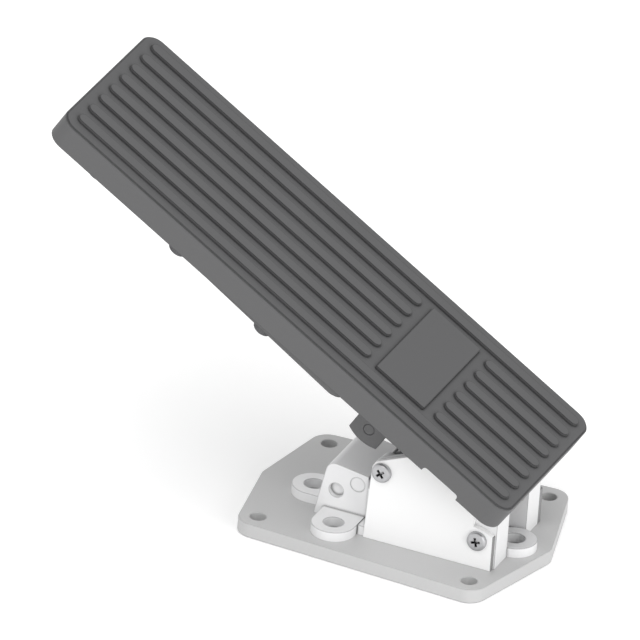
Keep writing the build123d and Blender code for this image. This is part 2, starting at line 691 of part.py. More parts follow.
def lug_tip_z():
    """Height of the stop lug's tip that lands it on the tower at full travel."""
    slope, travel, tilt = radians(SLOPE), radians(TRAVEL), radians(TOWER_TILT)
    left = slope - travel
    rise = tan(tilt)
    tip_z = SKIRT_Z
    for _ in range(20):
        x = HINGE_X + LUG_X * cos(left) + tip_z * sin(left)
        z = HINGE_Z - LUG_X * sin(left) + tip_z * cos(left)
        stop_z = TOWER_TOP_Z + (TOWER_FRONT_X - x) * rise + LUG_GAP
        tip_z -= (z - stop_z) / cos(left)
    return tip_z


def lug_side(y0, y1):
    """One stop lug with its curved tip."""
    tip = lug_tip_z()
    centre_z = tip + LUG_ARC_R
    half = LUG_W / 2
    corner_z = centre_z - sqrt(LUG_ARC_R**2 - half**2)
    left, right = (LUG_X - half, 0, corner_z), (LUG_X + half, 0, corner_z)
    top_z = CARRIER_UNDER_Z
    arc = ThreePointArc(left, (LUG_X, 0, tip), right)
    rest = Polyline(right, (LUG_X + half, 0, top_z), (LUG_X - half, 0, top_z), left)
    face = make_face(Curve() + [arc, rest])
    return Pos(0, y0, 0) * extrude(face, amount=y1 - y0, dir=(0, 1, 0))


def carrier_side(y0, y1):
    """Side of the carrier: a rail with the hinge eye and the stop lug."""
    rail = [
        (CARRIER_TOE_X, CARRIER_UNDER_Z + CARRIER_T),
        (CARRIER_TOE_X, CARRIER_UNDER_Z - CARRIER_SIDE_H / 2),
        (-EYE_R - CARRIER_FLARE, CARRIER_UNDER_Z - CARRIER_SIDE_H),
        (-EYE_R, 0),
        (EYE_R, 0),
        (CARRIER_HEEL_X, CARRIER_UNDER_Z + CARRIER_T),
    ]
    return side_profile(rail, y0, y1) + rod_y(0, 0, y0, y1, 2 * EYE_R) + lug_side(y0, y1)


def tail_side(y0, y1):
    """Tail below the hinge eye, upright at rest, that meets the idle stop."""
    foot_z = HINGE_Z - TAIL_DROP + TAIL_W / 2
    tail = block(HINGE_X - TAIL_W / 2, HINGE_X + TAIL_W / 2, y0, y1, foot_z, HINGE_Z)
    return tail + rod_y(HINGE_X, foot_z, y0, y1, TAIL_W)


def hinge_carrier():
    """Pressed channel under the heel half of the treadle."""
    half = CARRIER_W / 2
    channel = block(CARRIER_TOE_X, CARRIER_HEEL_X, -half, half, CARRIER_UNDER_Z, SKIN_UNDER_Z)
    channel += carrier_side(-half, CARRIER_T - half) + carrier_side(half - CARRIER_T, half)
    tip = lug_tip_z()
    channel -= rod_y(LUG_X, tip + LUG_PIN_UP, -half, half, LUG_PIN_D)
    for x, y in rivet_centres():
        channel -= rod_z(x, y, CARRIER_UNDER_Z, SKIN_UNDER_Z, RIVET_D)
    channel = TREADLE_AT * channel
    channel += tail_side(CARRIER_NEAR_Y, CARRIER_NEAR_Y + CARRIER_T)
    channel += tail_side(CARRIER_FAR_Y - CARRIER_T, CARRIER_FAR_Y)
    return channel - rod_y(HINGE_X, HINGE_Z, CARRIER_NEAR_Y, CARRIER_FAR_Y, SHAFT_D)


def lug_pin():
    """Cross pin through both stop lugs, flush with them."""
    return rod_y(LUG_X, lug_tip_z() + LUG_PIN_UP, -CARRIER_W / 2, CARRIER_W / 2, LUG_PIN_D)


def carrier_rivets():
    """Flat-head rivets through the treadle's skin and the carrier."""
    rivets = []
    for x, y in rivet_centres():
        rivet = rod_z(x, y, CARRIER_UNDER_Z, PAD_UNDER_Z, RIVET_D)
        rivet += rod_z(x, y, PAD_UNDER_Z - RIVET_HEAD_H / 2, PAD_UNDER_Z, RIVET_HEAD_D)
        rivet += rod_z(x, y, CARRIER_UNDER_Z - RIVET_HEAD_H, CARRIER_UNDER_Z, RIVET_HEAD_D)
        rivets.append(rivet)
    return Compound(children=rivets)


def lower_spring_seat():
    """Cup on the bracket floor, with a spigot inside the springs."""
    seat = rod_z(SPRING_X, MID_Y, FLOOR_T, SPRING_BOTTOM_Z, 2 * SEAT_R)
    spigot_r = INNER_SPRING_R - INNER_WIRE / 2 - COIL_GAP
    return seat + rod_z(SPRING_X, MID_Y, SPRING_BOTTOM_Z, SPRING_BOTTOM_Z + SPIGOT_H, 2 * spigot_r)


def upper_spring_seat():
    """Post under the carrier whose foot is level at rest."""
    tall = -CARRIER_TOE_X
    post = rod_z(SPRING_X, MID_Y, SPRING_TOP_Z, SPRING_TOP_Z + tall, 2 * SEAT_R)
    over = CARRIER_UNDER_Z + 2 * tall
    above = TREADLE_AT * block(-2 * tall, tall, -2 * SEAT_R, 2 * SEAT_R, CARRIER_UNDER_Z, over)
    spigot_r = INNER_SPRING_R - INNER_WIRE / 2 - COIL_GAP
    spigot = rod_z(SPRING_X, MID_Y, SPRING_TOP_Z - SPIGOT_H, SPRING_TOP_Z, 2 * spigot_r)
    return post - above + spigot


def coil_spring(radius, wire, turns):
    """Helical compression spring with ends ground flat on its seats."""
    height = SPRING_TOP_Z - SPRING_BOTTOM_Z
    low = SPRING_BOTTOM_Z
    pitch = (height - wire / 2) / turns
    path = Pos(SPRING_X, MID_Y, low + wire / 4) * Helix(pitch, height - wire / 2, radius)
    start = path.position_at(0)
    section = Plane(origin=start, z_dir=path.tangent_at(0)) * Circle(wire / 2)
    spring = sweep(section, path=path, is_frenet=True)
    reach = 2 * radius
    keep = block(SPRING_X - reach, SPRING_X + reach, MID_Y - reach, MID_Y + reach, low, SPRING_TOP_Z)
    return spring & keep


def idle_stop():
    """Rubber buffer on the bracket's cross rib, with two studs."""
    z0, z1 = STOP_PAD_Z - STOP_PAD_H / 2, STOP_PAD_Z + STOP_PAD_H / 2
    pad = block(STOP_PAD_X0, STOP_PAD_X1, CARRIER_NEAR_Y - 1, CARRIER_FAR_Y + 1, z0, z1)
    front = pad.edges().filter_by(Axis.Y).group_by(Axis.X)[-1]
    pad = fillet(front, 1.2)
    for y in (CARRIER_NEAR_Y + CARRIER_T / 2, CARRIER_FAR_Y - CARRIER_T / 2):
        stud = Pos(STOP_RIB_X + STOP_RIB_T / 2, y, STOP_PAD_Z) * Rot(0, 90, 0)
        pad += stud * Cylinder(STOP_STUD_D / 2, STOP_RIB_T)
    return pad


def sensor_housing():
    """Moulded far plate with the rotor's boss, the circuit case and a socket."""
    y0, y1 = FAR_Y, SENSOR_Y
    body = side_plate(y0, y1, 0)
    body += rod_y(HINGE_X, HINGE_Z, y0, y1 + SENSOR_BOSS_H, 2 * SENSOR_BOSS_R)
    case_y = y1 + CASE_H
    body += block(CASE_X0, CASE_X1, y0, case_y, CASE_Z0, CASE_Z1)
    room_x0, room_x1 = CASE_X0 + CASE_WALL, CASE_X1 - CASE_WALL
    body -= block(room_x0, room_x1, y1, case_y, CASE_Z0 + CASE_WALL, CASE_Z1 - CASE_WALL)
    socket_y = case_y - SOCKET_W
    z0, z1 = SOCKET_Z - SOCKET_H / 2, SOCKET_Z + SOCKET_H / 2
    body += block(CASE_X0 - SOCKET_L, CASE_X0, socket_y, case_y, z0, z1)
    body -= block(CASE_X0 - SOCKET_L, CASE_X0 - CASE_WALL, socket_y + SOCKET_WALL, case_y - SOCKET_WALL,
                  z0 + SOCKET_WALL, z1 - SOCKET_WALL)
    cavity_r = ROTOR_R + ROTOR_GAP
    body -= rod_y(HINGE_X, HINGE_Z, y0, y1 + ROTOR_T + 2 * ROTOR_GAP, 2 * cavity_r)
    for x, z in cover_screw_places():
        body -= rod_y(x, z, y0, y1, SCREW_D)
    for z in pin_heights():
        half = PIN_SIZE / 2 + PIN_FIT
        pin_y0, pin_y1 = pin_span_y()
        slot_y0, slot_y1 = pin_y0 - PIN_FIT, pin_y1 + PIN_FIT
        body -= block(CASE_X0 - CASE_WALL, CASE_X0 + CASE_WALL, slot_y0, slot_y1, z - half, z + half)
    return body


def pin_heights():
    """Heights of the socket's contact pins."""
    pitch = (SOCKET_H - 2 * SOCKET_WALL) / PIN_COUNT
    return [SOCKET_Z + (i - (PIN_COUNT - 1) / 2) * pitch for i in range(PIN_COUNT)]


def pin_span_y():
    """Extent of the contact pins across the socket."""
    mid = SENSOR_Y + CASE_H - SOCKET_W / 2
    return mid - PIN_SIZE / 2, mid + PIN_SIZE / 2


def contact_pins():
    """Contact pins through the case wall, bent down onto the board."""
    x0, x1 = CASE_X0 - SOCKET_L * 0.6, CASE_X0 + CASE_WALL + 2
    pins = []
    for z in pin_heights():
        z0, z1 = z - PIN_SIZE / 2, z + PIN_SIZE / 2
        pin = block(x0, x1, *pin_span_y(), z0, z1)
        pins.append(pin + block(x1 - PIN_SIZE, x1, SENSOR_Y + BOARD_T, pin_span_y()[1], z0, z1))
    return Compound(children=pins)


def circuit_board():
    """Sensor board on the floor of the case."""
    gap = 0.3
    x0, x1 = CASE_X0 + CASE_WALL + gap, CASE_X1 - CASE_WALL - gap
    z0, z1 = CASE_Z0 + CASE_WALL + gap, CASE_Z1 - CASE_WALL - gap
    return block(x0, x1, SENSOR_Y, SENSOR_Y + BOARD_T, z0, z1)


def sensor_lid():
    """Lid on the sensor case."""
    y0 = SENSOR_Y + CASE_H
    lid = block(CASE_X0, CASE_X1, y0, y0 + LID_T, CASE_Z0, CASE_Z1)
    lid = fillet(lid.edges().filter_by(Axis.Y), 1.5)
    gap = 0.1
    plug = block(CASE_X0 + CASE_WALL + gap, CASE_X1 - CASE_WALL - gap, y0 - LID_T, y0,
                 CASE_Z0 + CASE_WALL + gap, CASE_Z1 - CASE_WALL - gap)
    return lid + plug


def sensor_rotor():
    """Disc that the shaft's flat turns inside the sensor's boss."""
    y0 = SENSOR_Y + ROTOR_GAP
    rotor = rod_y(HINGE_X, HINGE_Z, y0, y0 + ROTOR_T, 2 * ROTOR_R)
    bore = rod_y(HINGE_X, HINGE_Z, y0, y0 + ROTOR_T, SHAFT_D)
    return rotor - (bore - shaft_flat(y0, y0 + ROTOR_T))


def build_all():
    """Every node of the pedal, by name."""
    thread = COVER_T + WALL_T + SCREW_BOSS_H - 0.5
    far_thread = SENSOR_PLATE_T + WALL_T + SCREW_BOSS_H - 0.5
    far_short = SENSOR_PLATE_T + WALL_T
    rear_at, front_at = cover_screw_places()
    near_spacer = (NEAR_IN_Y + BUSH_FLANGE_T + SIDE_FIT, CARRIER_NEAR_Y)
    far_spacer = (CARRIER_FAR_Y, FAR_IN_Y - BUSH_FLANGE_T - SIDE_FIT)
    inner_tube = (CARRIER_NEAR_Y + CARRIER_T, CARRIER_FAR_Y - CARRIER_T)
    return {
        "base_plate": base_plate(),
        "pedal_bracket": pedal_bracket(),
        "base_screws": base_screws(),
        "tower_pin": tower_pin(),
        "side_cover": side_cover(),
        "cover_screw_rear": pan_screw(*rear_at, COVER_OUT_Y, -1, thread, RECESS_TURN_REAR),
        "cover_screw_front": pan_screw(*front_at, COVER_OUT_Y, -1, thread, RECESS_TURN_FRONT),
        "hinge_bush_near": hinge_bush(NEAR_Y, NEAR_IN_Y, 1),
        "hinge_bush_far": hinge_bush(FAR_Y, FAR_IN_Y, -1),
        "hinge_washer": hinge_washer(),
        "lower_spring_seat": lower_spring_seat(),
        "idle_stop": idle_stop(),
        "sensor_housing": sensor_housing(),
        "sensor_lid": sensor_lid(),
        "circuit_board": circuit_board(),
        "contact_pins": contact_pins(),
        "sensor_screw_rear": pan_screw(*rear_at, SENSOR_Y, 1, far_thread, RECESS_TURN_FRONT),
        "sensor_screw_front": pan_screw(*front_at, SENSOR_Y, 1, far_short, RECESS_TURN_REAR),
        "return_spring_outer": coil_spring(OUTER_SPRING_R, OUTER_WIRE, OUTER_TURNS),
        "return_spring_inner": coil_spring(INNER_SPRING_R, INNER_WIRE, INNER_TURNS),
        "treadle_body": TREADLE_AT * treadle_body(),
        "treadle_pad": TREADLE_AT * treadle_pad(),
        "stiffener_pan": TREADLE_AT * stiffener_pan(),
        "pan_screws": TREADLE_AT * pan_screws(),
        "hinge_carrier": hinge_carrier(),
        "carrier_rivets": TREADLE_AT * carrier_rivets(),
        "lug_pin": TREADLE_AT * lug_pin(),
        "upper_spring_seat": upper_spring_seat(),
        "hinge_shaft": hinge_shaft(),
        "hinge_tube": hinge_spacer(*inner_tube, SHAFT_HEAD_D),
        "spacer_near": hinge_spacer(*near_spacer, SHAFT_HEAD_D),
        "spacer_far": hinge_spacer(*far_spacer, SHAFT_HEAD_D),
        "retaining_ring": retaining_ring(),
        "sensor_rotor": sensor_rotor(),
    }


if __name__ == "__main__":
    os.makedirs("parts", exist_ok=True)
    for name, piece in build_all().items():
        export_step(Pos(0, 0, PLATE_T) * piece, f"parts/{name}.step")
        print(name, round(piece.volume, 1))
    print("stop lug tip, from the hinge square to the treadle:", round(lug_tip_z(), 2))
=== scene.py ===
# %% [markdown]
# A floor-mounted accelerator pedal. A long ribbed treadle is hinged near its
# heel on a pale die-cast bracket, which stands on a grey steel plate. The
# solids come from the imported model, and this file gives them rounded edges,
# finishes, light and a camera.

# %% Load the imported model
import json
from math import cos, pi, radians

import bpy
from mathutils import Matrix, Vector


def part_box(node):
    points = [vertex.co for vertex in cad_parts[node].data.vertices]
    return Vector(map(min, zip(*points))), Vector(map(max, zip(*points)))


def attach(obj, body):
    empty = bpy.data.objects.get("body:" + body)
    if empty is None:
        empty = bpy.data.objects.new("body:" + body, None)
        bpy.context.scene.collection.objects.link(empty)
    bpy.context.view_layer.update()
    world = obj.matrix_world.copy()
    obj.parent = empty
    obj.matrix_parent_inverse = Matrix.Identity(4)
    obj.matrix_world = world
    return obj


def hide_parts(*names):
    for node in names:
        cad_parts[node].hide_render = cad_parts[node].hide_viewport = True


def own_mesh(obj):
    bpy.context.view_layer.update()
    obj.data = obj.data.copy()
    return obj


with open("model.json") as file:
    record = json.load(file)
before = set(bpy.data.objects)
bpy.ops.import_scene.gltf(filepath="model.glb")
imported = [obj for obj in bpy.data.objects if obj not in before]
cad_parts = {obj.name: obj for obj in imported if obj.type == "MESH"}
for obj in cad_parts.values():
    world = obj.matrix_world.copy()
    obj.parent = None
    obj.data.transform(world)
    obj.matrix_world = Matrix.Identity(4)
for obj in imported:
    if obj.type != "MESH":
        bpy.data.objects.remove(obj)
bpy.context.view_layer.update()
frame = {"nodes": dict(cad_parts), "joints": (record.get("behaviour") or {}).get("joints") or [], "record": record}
MM = 0.001
print("nodes:", len(frame["nodes"]))

# %% [markdown]
# The photograph is a parallel projection, seen from the front right and a
# little above. A very long lens from far away gives the same picture and
# still lets the camera walk round the object. The three vectors below are
# the picture's right, its up, and the way to the camera.

# %% Camera
RIGHT = Vector((0.9130, 0.4021, 0.0693))
UP = Vector((-0.2457, 0.4060, 0.8802))
PIXELS_PER_MM = 2.362
PICTURE_PIXELS = 640
CAMERA_AWAY = 8.0
SENSOR = 36.0

toward = RIGHT.cross(UP).normalized()
PLATE_TOP = Vector((0, 0, 6.4))
AIM_LEFT, AIM_UP, AIM_NEARER = 34.475, 80.246, 24
aim = (PLATE_TOP - AIM_LEFT * RIGHT + AIM_UP * UP + AIM_NEARER * toward) * MM
camera_data = bpy.data.cameras.new("camera")
camera_data.sensor_width = SENSOR
camera_data.lens = SENSOR * CAMERA_AWAY / (PICTURE_PIXELS / PIXELS_PER_MM * MM)
camera_data.clip_start = 0.1
camera_data.clip_end = 40
camera = bpy.data.objects.new("camera", camera_data)
bpy.context.scene.collection.objects.link(camera)
side, up = RIGHT.normalized(), toward.cross(RIGHT).normalized()
camera_axes = Matrix((side, up, toward)).transposed()
camera.matrix_world = Matrix.Translation(aim + toward * CAMERA_AWAY) @ camera_axes.to_4x4()
bpy.context.scene.camera = camera
print("lens", round(camera_data.lens))

# %% [markdown]
# The light is that of a bright white studio. An even world fills every side,
# a broad soft lamp stands near the camera so that no face it sees lies in
# shade, one overhead lifts the level faces, and one on the right opens the
# gap under the heel. Together they give each finish about its own value. The
# white backdrop is only for the camera and for what it sees mirrored or
# through glass, so it adds no light to the pedal.

# %% World and lamps
WORLD_LEVEL = 0.74


def looking_rays(tree):
    """1 for rays that look, also by a mirror or through glass; 0 for rays that light."""
    rays = tree.nodes.new("ShaderNodeLightPath")
    mask = rays.outputs["Is Camera Ray"]
    for kind in ("Is Glossy Ray", "Is Transmission Ray"):
        either = tree.nodes.new("ShaderNodeMath")
        either.operation = "MAXIMUM"
        tree.links.new(mask, either.inputs[0])
        tree.links.new(rays.outputs[kind], either.inputs[1])
        mask = either.outputs[0]
    return mask


scene = bpy.context.scene
scene.view_settings.view_transform = "Standard"
world = bpy.data.worlds.new("studio")
scene.world = world
world.use_nodes = True
sky = world.node_tree
sky.nodes.clear()
ambient = sky.nodes.new("ShaderNodeBackground")
ambient.inputs["Color"].default_value = (1, 1, 1, 1)
ambient.inputs["Strength"].default_value = WORLD_LEVEL
backdrop = sky.nodes.new("ShaderNodeBackground")
backdrop.inputs["Color"].default_value = (1, 1, 1, 1)
backdrop.inputs["Strength"].default_value = 1.0
studio_white = sky.nodes.new("ShaderNodeMixShader")
sky.links.new(looking_rays(sky), studio_white.inputs[0])
sky.links.new(ambient.outputs[0], studio_white.inputs[1])
sky.links.new(backdrop.outputs[0], studio_white.inputs[2])
world_out = sky.nodes.new("ShaderNodeOutputWorld")
sky.links.new(studio_white.outputs[0], world_out.inputs["Surface"])
print("world level", WORLD_LEVEL)


def soft_lamp(name, place, target, size, watts):
    """A square soft lamp that points at target."""
    bpy.ops.object.light_add(type="AREA", location=place)
    lamp = bpy.context.active_object
    lamp.name = name
    lamp.data.shape = "SQUARE"
    lamp.data.size = size
    lamp.data.energy = watts
    lamp.rotation_euler = (Vector(place) - Vector(target)).to_track_quat("Z", "Y").to_euler()
    print(name, "lamp,", watts, "W")


soft_lamp("key", (0.15, -1.30, 1.65), (-0.03, 0, 0.07), 1.2, 12)
soft_lamp("top", (0.10, -0.10, 2.0), (0, 0, 0.02), 1.6, 8)
soft_lamp("fill", (1.35, -0.70, 0.55), (0, 0, 0.05), 1.2, 8)

# %% [markdown]
# The floor is a pale sheet just under the plate. A little glow that only the
# same looking rays meet makes it white, and it still takes the soft shadow
# that the pedal throws on it.

# %% Floor
FLOOR_LIFT = 0.15
FLOOR_WHITE = (0.97, 0.97, 0.97, 1)
FLOOR_SIZE, FLOOR_GAP = 14, 0.2 * MM
bpy.ops.object.select_all(action="DESELECT")
bpy.ops.mesh.primitive_plane_add(size=FLOOR_SIZE, location=(0, 0, -FLOOR_GAP))
floor = bpy.context.active_object
floor.name = "floor"
floor_paint = bpy.data.materials.new("floor")
floor_paint.use_nodes = True
floor_tree = floor_paint.node_tree
floor_tree.nodes.clear()
matt = floor_tree.nodes.new("ShaderNodeBsdfDiffuse")
matt.inputs["Color"].default_value = FLOOR_WHITE
lift = floor_tree.nodes.new("ShaderNodeEmission")
lift.inputs["Strength"].default_value = FLOOR_LIFT
lifted = floor_tree.nodes.new("ShaderNodeAddShader")
floor_tree.links.new(matt.outputs[0], lifted.inputs[0])
floor_tree.links.new(lift.outputs[0], lifted.inputs[1])
shown = floor_tree.nodes.new("ShaderNodeMixShader")
floor_tree.links.new(looking_rays(floor_tree), shown.inputs[0])
floor_tree.links.new(matt.outputs[0], shown.inputs[1])
floor_tree.links.new(lifted.outputs[0], shown.inputs[2])
floor_out = floor_tree.nodes.new("ShaderNodeOutputMaterial")
floor_tree.links.new(shown.outputs[0], floor_out.inputs["Surface"])
floor.data.materials.append(floor_paint)
print("floor", FLOOR_SIZE, "m across")

# %% [markdown]
# Every finish below starts from one recipe: a colour with slight clouds in
# it, a roughness that wanders a little, and a fine relief. The colour is also
# darkened as painted shade in inner corners, and a little along outer edges,
# where they are handled; the Ambient Occlusion node finds both places. What
# sets the finishes apart is the scale and depth of each, so the recipe takes
# them as numbers.
# All patterns read Object coordinates, so they stay put on a part.


# %% The shared recipe of a finish
OPEN_PLACE, DEEP_CORNER = 0.95, 0.45
CORNER_SAMPLES = 8
RELIEF_STRENGTH = 0.6


def corner_mask(tree, reach, inside):
    """0 in open places, 1 in inner corners, or at outer edges if inside; reach in mm."""
    near = tree.nodes.new("ShaderNodeAmbientOcclusion")
    near.samples = CORNER_SAMPLES
    near.only_local = True
    near.inside = inside
    near.inputs["Distance"].default_value = reach * MM
    turned = tree.nodes.new("ShaderNodeMapRange")
    turned.inputs["From Min"].default_value = OPEN_PLACE
    turned.inputs["From Max"].default_value = DEEP_CORNER
    tree.links.new(near.outputs["AO"], turned.inputs["Value"])
    return turned.outputs["Result"]


def darken(tree, colour, mask, amount):
    """Colour, darkened by amount where mask is 1."""
    less = tree.nodes.new("ShaderNodeMix")
    less.data_type = "RGBA"
    less.blend_type = "MULTIPLY"
    less.inputs["B"].default_value = (1 - amount, 1 - amount, 1 - amount, 1)
    tree.links.new(mask, less.inputs["Factor"])
    tree.links.new(colour, less.inputs["A"])
    return less.outputs["Result"]


def finish(name, colour, roughness, metallic=0.0, clouds=0.05, cloud_size=30.0, spread=0.08,
           grain=0.35, relief=0.02, pattern="NOISE", stretch=(1, 1, 1),
           painted_shade=0.5, painted_shade_reach=1.5, edge=0.0, edge_reach=0.5):
    """Sizes are in mm: cloud_size and grain across, relief deep; painted_shade (darkening in inner corners) and
    edge are shares.
    """
    paint = bpy.data.materials.new(name)
    paint.use_nodes = True
    tree = paint.node_tree
    shader = tree.nodes["Principled BSDF"]
    place = tree.nodes.new("ShaderNodeTexCoord")
    mapping = tree.nodes.new("ShaderNodeMapping")
    mapping.inputs["Scale"].default_value = stretch
    tree.links.new(place.outputs["Object"], mapping.inputs["Vector"])

    cloud = tree.nodes.new("ShaderNodeTexNoise")
    cloud.inputs["Scale"].default_value = 1000 / cloud_size
    cloud.inputs["Detail"].default_value = 5
    tree.links.new(mapping.outputs["Vector"], cloud.inputs["Vector"])
    tint = tree.nodes.new("ShaderNodeMix")
    tint.data_type = "RGBA"
    tint.inputs["A"].default_value = [c * (1 - clouds) for c in colour] + [1]
    tint.inputs["B"].default_value = [min(c * (1 + clouds), 1) for c in colour] + [1]
    tree.links.new(cloud.outputs["Fac"], tint.inputs["Factor"])
    painted = tint.outputs["Result"]
    # Painted shade: the colour is darkened in inner corners, where shade falls.
    if painted_shade:
        painted = darken(tree, painted, corner_mask(tree, painted_shade_reach, False), painted_shade)
    if edge:
        painted = darken(tree, painted, corner_mask(tree, edge_reach, True), edge)
    tree.links.new(painted, shader.inputs["Base Color"])

    wander = tree.nodes.new("ShaderNodeMapRange")
    wander.inputs["To Min"].default_value = roughness - spread
    wander.inputs["To Max"].default_value = roughness + spread
    tree.links.new(cloud.outputs["Fac"], wander.inputs["Value"])
    tree.links.new(wander.outputs["Result"], shader.inputs["Roughness"])
    shader.inputs["Metallic"].default_value = metallic

    if pattern == "VORONOI":
        fine = tree.nodes.new("ShaderNodeTexVoronoi")
        height = fine.outputs["Distance"]
    else:
        fine = tree.nodes.new("ShaderNodeTexNoise")
        fine.inputs["Detail"].default_value = 3
        height = fine.outputs["Fac"]
    fine.inputs["Scale"].default_value = 1000 / grain
    tree.links.new(mapping.outputs["Vector"], fine.inputs["Vector"])
    bump = tree.nodes.new("ShaderNodeBump")
    bump.inputs["Strength"].default_value = RELIEF_STRENGTH
    bump.inputs["Distance"].default_value = relief * MM
    tree.links.new(height, bump.inputs["Height"])
    tree.links.new(bump.outputs["Normal"], shader.inputs["Normal"])
    return paint


# %% [markdown]
# The treadle is a dark grey moulding with a fine leather-like grain, and the
# pad on it a rubber of the same grey, a little duller. Under them the
# pressed steel is coated nearly as dark.

# %% Dark finishes
TREADLE_GREY = (0.104, 0.104, 0.106)
PAD_GREY = (0.078, 0.078, 0.080)
FINISH = {}
# Both carry strong painted shade at the feet of their ribs and steps.
FINISH["treadle_moulding"] = finish("treadle_moulding", TREADLE_GREY, 0.58, clouds=0.04,
                                    grain=0.5, relief=0.03, pattern="VORONOI",
                                    painted_shade=0.8, painted_shade_reach=1.0, edge=0.7)
FINISH["pad_rubber"] = finish("pad_rubber", PAD_GREY, 0.68, clouds=0.05, grain=0.3, relief=0.015,
                              painted_shade=0.9, painted_shade_reach=1.0, edge=0.8, edge_reach=0.5)
FINISH["dark_steel"] = finish("dark_steel", (0.120, 0.120, 0.122), 0.45, clouds=0.05,
                              grain=0.8, relief=0.01, edge=0.6)
FINISH["dark_plastic"] = finish("dark_plastic", (0.25, 0.25, 0.255), 0.6, grain=0.4,
                                relief=0.02, edge=0.2)
FINISH["dark_screw"] = finish("dark_screw", (0.13, 0.13, 0.135), 0.4, metallic=0.6, grain=0.3,
                              relief=0.008, painted_shade=0.7)
FINISH["stop_rubber"] = finish("stop_rubber", (0.06, 0.06, 0.06), 0.8, grain=0.3, relief=0.02)
print("dark finishes:", len(FINISH))

# %% [markdown]
# The bracket is a raw pale die casting: light grey, satin, and slightly
# mottled where the metal cooled. The plate is painted a mid grey with a
# faint orange-peel, and rubs through to darker steel along its edges.

# %% Pale finishes
FINISH["cast_bracket"] = finish("cast_bracket", (0.84, 0.84, 0.845), 0.5, metallic=0.1, clouds=0.03,
                                cloud_size=14, grain=0.5, relief=0.02, painted_shade=0.6, edge=0.5)
FINISH["base_plate"] = finish("base_plate", (0.53, 0.53, 0.53), 0.45, clouds=0.02, cloud_size=40,
                              grain=1.2, relief=0.015, painted_shade=0.3, edge=0.55, edge_reach=0.6)
FINISH["pale_plastic"] = finish("pale_plastic", (0.72, 0.70, 0.64), 0.5, clouds=0.03,
                                grain=0.5, relief=0.01)
print("dark and pale finishes:", len(FINISH))

# %% [markdown]
# The cover is a smooth white moulding, and its upright front edge is painted
# grey as shade. A mask from the distance along the pedal finds that edge,
# because every point of it lies further forward than the rest of the cover.

# %% The cover's white finish and painted shade on its front edge
COVER_EDGE_DEPTH = 0.3 * MM
COVER_EDGE_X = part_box("side_cover")[1][0] - COVER_EDGE_DEPTH
EDGE_PAINTED_SHADE = (0.24, 0.24, 0.24, 1)
FINISH["white_cover"] = finish("white_cover", (0.95, 0.95, 0.95), 0.45, clouds=0.01, grain=0.6,
                               relief=0.008, painted_shade=0.5, edge=0.2)
coat = FINISH["white_cover"].node_tree
spot = coat.nodes.new("ShaderNodeTexCoord")
apart = coat.nodes.new("ShaderNodeSeparateXYZ")
coat.links.new(spot.outputs["Object"], apart.inputs["Vector"])
in_front = coat.nodes.new("ShaderNodeMath")
in_front.operation = "GREATER_THAN"
in_front.inputs[1].default_value = COVER_EDGE_X
coat.links.new(apart.outputs["X"], in_front.inputs[0])
white_shader = coat.nodes["Principled BSDF"]
white = white_shader.inputs["Base Color"].links[0].from_socket
# Painted shade: the upright front edge of the cover is coloured grey.
edge_shade_paint = coat.nodes.new("ShaderNodeMix")
edge_shade_paint.data_type = "RGBA"
edge_shade_paint.inputs["B"].default_value = EDGE_PAINTED_SHADE
coat.links.new(in_front.outputs[0], edge_shade_paint.inputs["Factor"])
coat.links.new(white, edge_shade_paint.inputs["A"])
coat.links.new(edge_shade_paint.outputs["Result"], white_shader.inputs["Base Color"])
print("cover edge from x =", round(COVER_EDGE_X, 4))

# %% [markdown]
# Screws and pins are zinc plated, the shaft is ground across its length, and
# the springs are drawn wire. Their patterns are stretched along the way that
# each was worked.

# %% Bright metals and small parts
# Painted shade darkens the screws' cross recesses strongly.
FINISH["zinc_screw"] = finish("zinc_screw", (0.47, 0.47, 0.48), 0.38, metallic=0.8, clouds=0.06,
                              cloud_size=5, grain=0.3, relief=0.006, painted_shade=0.95, painted_shade_reach=1.2,
                              edge=0.2, edge_reach=0.3)
FINISH["shaft_steel"] = finish("shaft_steel", (0.55, 0.55, 0.56), 0.3, metallic=0.9, clouds=0.05,
                               grain=0.6, relief=0.006, stretch=(1, 8, 1))
FINISH["spring_steel"] = finish("spring_steel", (0.40, 0.40, 0.42), 0.35, metallic=0.9, clouds=0.08,
                                cloud_size=6, grain=0.3, relief=0.006)
FINISH["contact_brass"] = finish("contact_brass", (0.72, 0.58, 0.30), 0.3, metallic=0.9,
                                 grain=0.2, relief=0.004)
FINISH["board"] = finish("board", (0.05, 0.22, 0.12), 0.3, clouds=0.1, cloud_size=3, grain=0.8,
                         relief=0.01)
print("finishes:", len(FINISH))

# %% [markdown]
# A solid from the CAD model has knife edges, and no cast, moulded or pressed
# part has them. A copy of the solid is merged, its flat faces are joined,
# and a narrow bevel along each sharp edge catches the light. The copy then
# stands for the node.


# %% Round the edges of a node
def pick(piece):
    """Only this piece is selected, and it is the active one."""
    bpy.ops.object.select_all(action="DESELECT")
    piece.select_set(True)
    bpy.context.view_layer.objects.active = piece


SAME_POINT = 0.002 * MM
FLAT_WITHIN = 0.4
SHARP_ANGLE = 35
SLOT_OF = {entry["node"]: entry["material_slot"] for entry in frame["record"]["subparts"]}
BODY_OF = {node: body for body, nodes in frame["record"]["behaviour"]["bodies"].items()
           for node in nodes}


